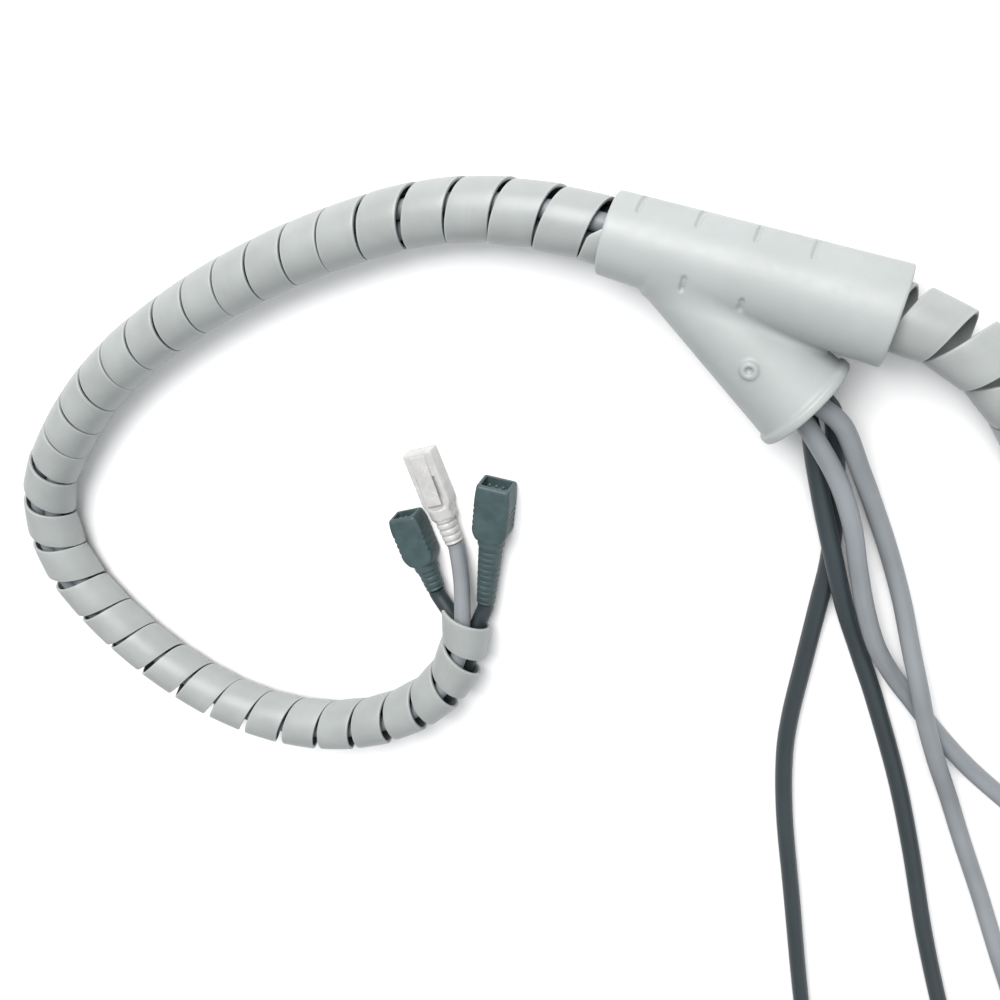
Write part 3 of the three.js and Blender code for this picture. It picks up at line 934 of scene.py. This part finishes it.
def make_plug(node, kind, tail, heading, settings):
    """A plug netted lying along +X from its tail, then turned to its heading and put in place."""
    size = plug_size(kind)
    make_field = modular_field if kind == "modular" else socket_field
    high = np.array([size["neck"] + size["body"], size["width"] / 2, size["height"] / 2])
    low = high * [0, -1, -1]
    piece = surface_net(f"{node}_body", make_field(size), low, high, settings.plug_cell)
    piece.data.transform(Matrix.Translation(Vector(tail)) @ Matrix.Rotation(heading, 4, "Z"))
    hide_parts(node)
    return piece


# Cables, on the plan that the loop is drawn on, in mm and degrees. The angles are a cable's place
# in the wrap and near its narrow end. A plug is its node, kind, tail and heading. A point without
# a height lies on the floor.
CABLES = [
    {
        "name": "dark_cable_left",
        "slot": "dark_cable",
        "angles": (225, 210),
        "plug": ("dark_plug_left", "socket", (-23.3, -40.4), 112),
        "far_plug": ("dark_far_plug_left", "socket"),
        "tip": [],
        "outer": [
            (100, 48.5, 11.5),
            (103.5, 35, 10),
            (108, 20, 9.6),
            (113, 5, 9.5),
            (119, -14, 6.5),
            (126, -32, 3.2),
            (134, -50),
            (146, -80),
            (156, -110),
            (168, -150),
            (184, -196),
            (203, -245),
        ],
        "coil": {"centre": (198, -318), "entry": 18, "turn": -1, "turns": 2},
    },
    {
        "name": "dark_cable_right",
        "slot": "dark_cable",
        "angles": (315, 330),
        "plug": ("dark_plug_right", "long_socket", (-3.7, -41.5), 86),
        "far_plug": ("dark_far_plug_right", "socket"),
        "tip": [],
        "outer": [
            (106, 52.5, 9.5),
            (108.5, 37, 4.5),
            (111, 18, 3.2),
            (112, 0),
            (111, -17),
            (109.5, -40),
            (108, -65),
            (108.5, -84),
            (112, -110),
            (119, -145),
            (129, -195),
            (140, -245),
            (149, -290),
        ],
        "coil": {"centre": (120, -352), "entry": 4, "turn": -1, "turns": 2},
    },
    {
        "name": "grey_cable_left",
        "slot": "grey_cable",
        "angles": (135, 90),
        "plug": ("network_plug", "modular", (-16.2, -19.5), 112),
        "far_plug": ("network_far_plug_left", "modular"),
        "tip": [(-12, -35, 7.5)],
        "outer": [
            (102.5, 47.5, 18.5),
            (111, 33, 14.5),
            (117, 18, 12),
            (121, 3, 10.5),
            (125.5, -12, 9.5),
            (131, -26, 8),
            (138, -38, 5),
            (146, -48, 3.2),
            (156, -59),
            (168, -70),
            (183, -81),
            (200, -93),
        ],
        "coil": {"centre": (251.3, -84), "entry": -110, "turn": 1, "turns": 3},
    },
    {
        "name": "grey_cable_right",
        "slot": "grey_cable",
        "angles": (45, 45),
        "plug": None,
        "far_plug": ("network_far_plug_right", "modular"),
        "tip": [],
        "outer": [
            (109.5, 52, 16.5),
            (116.5, 36.5, 11),
            (123, 21, 5.5),
            (129.5, 6, 3.2),
            (136, -10, 3.4),
            (141.5, -25, 6.5),
            (146.5, -38, 9.6),
            (151, -51, 9.9),
            (157, -66, 9),
            (163.5, -82, 5),
            (171, -100, 3.1),
            (182, -124),
            (196, -156),
            (212, -190),
            (228, -216),
        ],
        "coil": {"centre": (282, -238), "entry": -147, "turn": 1, "turns": 3},
    },
]


def free_points(points):
    """Listed points in metres in the part's frame, on the floor where no height is given."""
    floor = CABLE_RADIUS / MM
    full = [point if len(point) == 3 else (*point, floor) for point in points]
    return np.array(full, float).reshape(-1, 3) * MM - ORIGIN


def hermite(start, end, leave, arrive, count):
    """Cubics from start to end with the slopes leave and arrive, as one line of count points
    a cubic, without its last point."""
    t = (np.arange(count) / count)[:, None]
    start, end, leave, arrive = (
        np.atleast_2d(value)[:, None] for value in (start, end, leave, arrive)
    )
    square = t * t
    cube = square * t
    line = (
        (2 * cube - 3 * square + 1) * start
        + (cube - 2 * square + t) * leave
        + (3 * square - 2 * cube) * end
        + (cube - square) * arrive
    )
    return line.reshape(-1, 3)


def rounded_line(points, per_span):
    """A curve through the points: on each span a cubic whose end slopes are half the step
    between the neighbours on either side."""
    first = 2 * points[0] - points[1]
    last = 2 * points[-1] - points[-2]
    padded = np.vstack([first, points, last])
    start, end = padded[1:-2], padded[2:-1]
    leave = (end - padded[:-3]) / 2
    arrive = (padded[3:] - start) / 2
    return np.vstack([hermite(start, end, leave, arrive, per_span), points[-1]])


def joined(start, before, end, after, count):
    """A cubic between two points that leaves along before and arrives along after, with both
    slopes as long as the points are apart; it is given without its last point."""
    reach = np.linalg.norm(end - start)
    return hermite(start, end, reach * unit(before), reach * unit(after), count)


def unit(vector):
    """A vector of length one."""
    return vector / np.linalg.norm(vector)


def ahead(heading):
    """The level direction of a heading."""
    return np.array([math.cos(heading), math.sin(heading), 0])


def lengths_along(line):
    """The length of a line up to each of its points: the sum of its steps."""
    return np.concatenate([[0], np.cumsum(np.linalg.norm(np.diff(line, axis=0), axis=1))])


def even_steps(line, step):
    """The same line with points at equal steps."""
    lengths = lengths_along(line)
    wanted = np.linspace(0, lengths[-1], int(lengths[-1] / step) + 1)
    return np.stack([np.interp(wanted, lengths, line[:, axis]) for axis in range(3)], -1)


def coil_centre(coil):
    """A coil's middle on the floor, in the part's frame."""
    return np.array([*coil["centre"], 0]) * MM - ORIGIN


def ring_points(coil, turned):
    """Points on a coil: level turns on one radius, with a ramp up at the end of all but the last."""
    angle = math.radians(coil["entry"]) + coil["turn"] * 2 * np.pi * turned
    height = np.full_like(turned, CABLE_RADIUS)
    for level in range(1, coil["turns"]):
        height += COIL_PITCH * smoothstep(turned, level - RAMP_START, level - RAMP_END)
    flat = np.stack([COIL_RADIUS * np.cos(angle), COIL_RADIUS * np.sin(angle), height], -1)
    return coil_centre(coil) + flat


def coil_door(coil):
    """Where the free cable meets the coil's side: on the tangent, a little before the ring."""
    entry = math.radians(coil["entry"])
    heading = entry + coil["turn"] * math.pi / 2
    stop = 2 * math.sqrt(COIL_RADIUS * CABLE_RADIUS) + GAP
    ring = COIL_RADIUS * ahead(entry) + CABLE_RADIUS * UP
    return coil_centre(coil) + ring - stop * ahead(heading)


def far_plug_place(coil, kind):
    """The far plug's tail and heading: a chord of its coil, on the flat top."""
    size = plug_size(kind)
    entry = math.radians(coil["entry"])
    lean = math.asin((size["neck"] + size["body"]) / (2 * COIL_RADIUS))
    coil_top = (coil["turns"] - 1) * COIL_PITCH + CABLE_DIAMETER
    height = coil_top + GAP + size["height"] / 2
    tail = coil_centre(coil) + COIL_RADIUS * ahead(entry) + height * UP
    return tail, entry + coil["turn"] * (math.pi / 2 + lean)


def near_plug_place(plug):
    """The near plug's tail and heading, lying on the floor."""
    _, kind, (x, y), degrees = plug
    tail = np.array([x * MM, y * MM, plug_size(kind)["height"] / 2]) - ORIGIN
    return tail, math.radians(degrees)


def slot_points(cable, s):
    """The cable's place in the bundle: a ring of four in the wrap that closes up to three
    near the narrow end."""
    full, tip = (math.radians(angle) for angle in cable["angles"])
    share = smoothstep(s, REGROUP_START, REGROUP_START + REGROUP_LENGTH)
    spacing = mix(TIP_SPACING, FULL_SPACING, share)
    return section_point(BUNDLE_ROUTE, s, spacing, mix(tip, full, share))


def cable_line(cable):
    """Centreline of a cable: plug, wrap, funnel, floor, coil, and up onto the far plug's tail."""
    start = LONG_CABLE_START if cable["plug"] else SHORT_CABLE_START
    count = math.ceil((BUNDLE_ROUTE.length - start) / ROUTE_SPACING)
    inside = slot_points(cable, np.linspace(start, BUNDLE_ROUTE.length, count + 1))
    coil = cable["coil"]
    points = [inside, free_points(cable["outer"]), coil_door(coil)]
    if cable["plug"]:
        tail, heading = near_plug_place(cable["plug"])
        lead = tail - PLUG_LEAD * ahead(heading)
        points = [tail, lead, free_points(cable["tip"]), *points]
    free = rounded_line(np.vstack(points), SPAN_POINTS)
    turned = np.linspace(COIL_BEGIN, coil["turns"] - RAMP_START, TURN_POINTS * coil["turns"])
    ring = ring_points(coil, turned)
    join = joined(free[-1], free[-1] - free[-2], ring[0], ring[1] - ring[0], JOIN_POINTS)
    tail, heading = far_plug_place(coil, cable["far_plug"][1])
    climb = joined(ring[-1], ring[-1] - ring[-2], tail, ahead(heading), CLIMB_POINTS)
    return np.vstack([free[:-1], join, ring[:-1], climb, tail])


def make_cable(cable, settings):
    """A round sheath carried along its centreline: each point is the line's point plus the
    radius times the cosine sideways and the sine upwards."""
    line = even_steps(cable_line(cable), settings.cable_step)
    line[:, 2] = np.maximum(line[:, 2], CABLE_RADIUS)
    along = np.gradient(line, axis=0)
    along /= np.linalg.norm(along, axis=1, keepdims=True)
    side = np.cross(UP, along)
    side /= np.linalg.norm(side, axis=1, keepdims=True)
    above = np.cross(along, side)
    angle = np.linspace(0, 2 * np.pi, settings.cable_sides, endpoint=False)
    sideways = CABLE_RADIUS * np.cos(angle)
    upwards = CABLE_RADIUS * np.sin(angle)
    spokes = sideways[:, None] * side[:, None] + upwards[:, None] * above[:, None]
    points = line[:, None] + spokes
    faces = swept_faces(*points.shape[:2])
    piece = finish_mesh(f"{cable['name']}_sheath", points.reshape(-1, 3), faces, CREASE_ANGLE)
    run = lengths_along(line)
    add_lay(piece, *np.broadcast_arrays(run[:, None], sideways, upwards))
    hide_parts(cable["name"], f"{cable['name']}_coil")
    return piece


# Camera and lights

CAMERA_PLACE = np.array([115.07, 195.19, 348.38]) * MM - ORIGIN
CAMERA_LOOK = np.array([-0.27789, -0.47235, -0.83645])
CAMERA_ROLL = math.radians(1.148)
LENS = 42.88
SENSOR = 36
CLIP_START = 0.01

# Lights' places, colours and size, and how far the floor is kept below the object
KEY_PLACE = (-0.2, 1.1, 1.3)
KEY_COLOUR = (1.0, 0.99, 0.97)
FILL_PLACE = (0.9, -0.5, 1.0)
FILL_COLOUR = (0.96, 0.98, 1.0)
SKY_COLOUR = (0.95, 0.97, 1.0, 1)
LIGHT_SIZE = 1.2
FLOOR_DROP = 0.1 * MM


def looking(place, look, roll=0.0):
    """A matrix at a place that looks along a direction, with its top towards +Y, then rolled."""
    look = Vector(look).normalized()
    level = look.cross(Vector((0, 1, 0))).normalized()
    right = math.cos(roll) * level + math.sin(roll) * level.cross(look)
    top = right.cross(look)
    turn = Matrix((right, top, -look)).transposed().to_4x4()
    return Matrix.Translation(Vector(place)) @ turn


def area_light(name, place, power, colour):
    """A square area light that looks at the part's origin."""
    data = bpy.data.lights.new(name, "AREA")
    data.shape = "SQUARE"
    data.size = LIGHT_SIZE
    data.energy = power
    data.color = colour
    light = bpy.data.objects.new(name, data)
    light.matrix_world = looking(place, -Vector(place))
    bpy.context.scene.collection.objects.link(light)


# Settings

class WrapSettings(bpy.types.PropertyGroup):
    """Sizes and colour of the wrap's ribbon."""

    ribbon_width: FloatProperty(
        name="Ribbon width", description="Width of the ribbon", default=13.8 * MM, unit="LENGTH"
    )
    turn_gap: FloatProperty(
        name="Turn gap",
        description="Gap between turns on the inside of a bend",
        default=0.4 * MM,
        unit="LENGTH",
    )
    ribbon_wall: FloatProperty(
        name="Ribbon wall", description="Thickness of the ribbon", default=1.3 * MM, unit="LENGTH"
    )
    ribbon_edge: FloatProperty(
        name="Edge rounding",
        description="Radius of the ribbon's edges",
        default=0.35 * MM,
        unit="LENGTH",
    )
    steps_per_turn: IntProperty(
        name="Steps per turn", description="Mesh steps in one turn of the ribbon", default=56
    )
    colour: FloatVectorProperty(
        name="Colour",
        description="Colour of the wrap",
        default=(0.285, 0.302, 0.298),
        subtype="COLOR",
    )


class ToolSettings(bpy.types.PropertyGroup):
    """Finish sizes and colour of the threading tool."""

    fillet: FloatProperty(
        name="Fillet",
        description="Reach of the fillet between barrel and funnel",
        default=3 * MM,
        unit="LENGTH",
    )
    rim_rounding: FloatProperty(
        name="Rim rounding", description="Rounding of the rims", default=0.7 * MM, unit="LENGTH"
    )
    mark_half_width: FloatProperty(
        name="Mark half width",
        description="Half width of the marks on the barrel",
        default=0.85 * MM,
        unit="LENGTH",
    )
    cell: FloatProperty(
        name="Mesh cell", description="Size of the mesh's cells", default=0.56 * MM, unit="LENGTH"
    )
    colour: FloatVectorProperty(
        name="Colour",
        description="Colour of the tool",
        default=(0.31, 0.33, 0.328),
        subtype="COLOR",
    )


class CableSettings(bpy.types.PropertyGroup):
    """Mesh sizes and colours of the cables and plugs."""

    cable_sides: IntProperty(name="Sides", description="Sides of a cable", default=24)
    cable_step: FloatProperty(
        name="Step", description="Step along a cable", default=2 * MM, unit="LENGTH"
    )
    plug_cell: FloatProperty(
        name="Plug cell",
        description="Size of the mesh's cells on a plug",
        default=0.24 * MM,
        unit="LENGTH",
    )
    dark_colour: FloatVectorProperty(
        name="Dark cable",
        description="Colour of the dark cables",
        default=(0.02, 0.03, 0.035),
        subtype="COLOR",
    )
    grey_colour: FloatVectorProperty(
        name="Grey cable",
        description="Colour of the grey cables",
        default=(0.2, 0.215, 0.23),
        subtype="COLOR",
    )
    plug_colour: FloatVectorProperty(
        name="Dark plug",
        description="Colour of the dark plugs",
        default=(0.036, 0.062, 0.065),
        subtype="COLOR",
    )
    clear_colour: FloatVectorProperty(
        name="Clear plug",
        description="Colour of the clear plugs",
        default=(0.56, 0.555, 0.545),
        subtype="COLOR",
    )


class StageSettings(bpy.types.PropertyGroup):
    """Floor and light."""

    floor_size: FloatProperty(
        name="Floor size", description="Side of the square floor", default=8.0, unit="LENGTH"
    )
    floor_colour: FloatVectorProperty(
        name="Floor colour",
        description="Colour of the floor",
        default=(0.9, 0.9, 0.9),
        subtype="COLOR",
    )
    key_power: FloatProperty(
        name="Key light", description="Power of the main light", default=47.0, unit="POWER"
    )
    fill_power: FloatProperty(
        name="Fill light", description="Power of the fill light", default=3.0, unit="POWER"
    )
    sky_strength: FloatProperty(
        name="Sky light", description="Strength of the even light all round", default=0.62
    )


# Operators

class MakeStage(bpy.types.Operator):
    """Make the floor, the lights and the camera."""

    bl_idname = "cable_wrap.make_stage"
    bl_label = "Make Stage"

    def execute(self, context):
        settings = context.scene.cable_wrap_stage
        half = settings.floor_size / 2
        corners = np.array([(-half, -half, 0), (half, -half, 0), (half, half, 0), (-half, half, 0)])
        corners[:, 2] = -FLOOR_DROP
        mesh = bpy.data.meshes.new("floor")
        mesh.from_pydata(corners.tolist(), [], [(0, 1, 2, 3)])
        floor = bpy.data.objects.new("floor", mesh)
        context.scene.collection.objects.link(floor)
        floor.data.materials.append(floor_finish(settings.floor_colour))
        camera_data = bpy.data.cameras.new("camera")
        camera_data.lens = LENS
        camera_data.sensor_width = SENSOR
        camera_data.sensor_fit = "HORIZONTAL"
        camera_data.clip_start = CLIP_START
        camera = bpy.data.objects.new("camera", camera_data)
        camera.matrix_world = looking(CAMERA_PLACE, CAMERA_LOOK, CAMERA_ROLL)
        context.scene.collection.objects.link(camera)
        context.scene.camera = camera
        area_light("key_light", KEY_PLACE, settings.key_power, KEY_COLOUR)
        area_light("fill_light", FILL_PLACE, settings.fill_power, FILL_COLOUR)
        world = bpy.data.worlds.new("even_light")
        world.use_nodes = True
        background = world.node_tree.nodes["Background"]
        background.inputs["Color"].default_value = SKY_COLOUR
        background.inputs["Strength"].default_value = settings.sky_strength
        context.scene.world = world
        context.scene.view_settings.view_transform = "Standard"
        return {"FINISHED"}


class MakeCables(bpy.types.Operator):
    """Make the four cables with their coils and plugs."""

    bl_idname = "cable_wrap.make_cables"
    bl_label = "Make Cables"

    def execute(self, context):
        settings = context.scene.cable_wrap_cables
        sheaths = {
            "dark_cable": sheath_finish("dark_cable", settings.dark_colour),
            "grey_cable": sheath_finish("grey_cable", settings.grey_colour),
        }
        dark = dark_plug_finish(settings.plug_colour)
        clear = clear_plug_finish(settings.clear_colour)
        for cable in CABLES:
            node, kind = cable["far_plug"]
            places = [(node, kind, *far_plug_place(cable["coil"], kind))]
            if cable["plug"]:
                tail, heading = near_plug_place(cable["plug"])
                places.append((*cable["plug"][:2], tail + GAP * ahead(heading), heading))
            for node, kind, tail, heading in places:
                plug = make_plug(node, kind, tail, heading, settings)
                plug.data.materials.append(clear if kind == "modular" else dark)
            sheath = make_cable(cable, settings)
            sheath.data.materials.append(sheaths[cable["slot"]])
        return {"FINISHED"}


class MakeWrap(bpy.types.Operator):
    """Make the spiral ribbon."""

    bl_idname = "cable_wrap.make_wrap"
    bl_label = "Make Wrap"

    def execute(self, context):
        make_wrap(context.scene.cable_wrap_ribbon)
        return {"FINISHED"}


class MakeTool(bpy.types.Operator):
    """Make the threading tool."""

    bl_idname = "cable_wrap.make_tool"
    bl_label = "Make Tool"

    def execute(self, context):
        make_tool(context.scene.cable_wrap_tool)
        return {"FINISHED"}


OPERATORS = (MakeStage, MakeCables, MakeWrap, MakeTool)


class WrapPanel(bpy.types.Panel):
    """Lists the operators and their settings."""

    bl_idname = "VIEW3D_PT_cable_wrap"
    bl_label = "Cable Wrap"
    bl_space_type = "VIEW_3D"
    bl_region_type = "UI"
    bl_category = "Cable Wrap"

    def draw(self, context):
        for operator, (name, kind) in zip(OPERATORS, SETTINGS.items()):
            box = self.layout.box()
            box.operator(operator.bl_idname)
            for key in kind.__annotations__:
                box.prop(getattr(context.scene, name), key)


SETTINGS = {
    "cable_wrap_stage": StageSettings,
    "cable_wrap_cables": CableSettings,
    "cable_wrap_ribbon": WrapSettings,
    "cable_wrap_tool": ToolSettings,
}
CLASSES = (*SETTINGS.values(), *OPERATORS, WrapPanel)


def register():
    """Add the classes and their settings."""
    for kind in CLASSES:
        bpy.utils.register_class(kind)
    for name, kind in SETTINGS.items():
        setattr(bpy.types.Scene, name, PointerProperty(type=kind))


def unregister():
    """Take the settings and the classes away."""
    for name in SETTINGS:
        delattr(bpy.types.Scene, name)
    for kind in reversed(CLASSES):
        bpy.utils.unregister_class(kind)


def main():
    """Make every piece."""
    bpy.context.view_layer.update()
    register()
    bpy.ops.cable_wrap.make_stage()
    bpy.ops.cable_wrap.make_cables()
    bpy.ops.cable_wrap.make_wrap()
    bpy.ops.cable_wrap.make_tool()


if __name__ == "__main__":
    main()
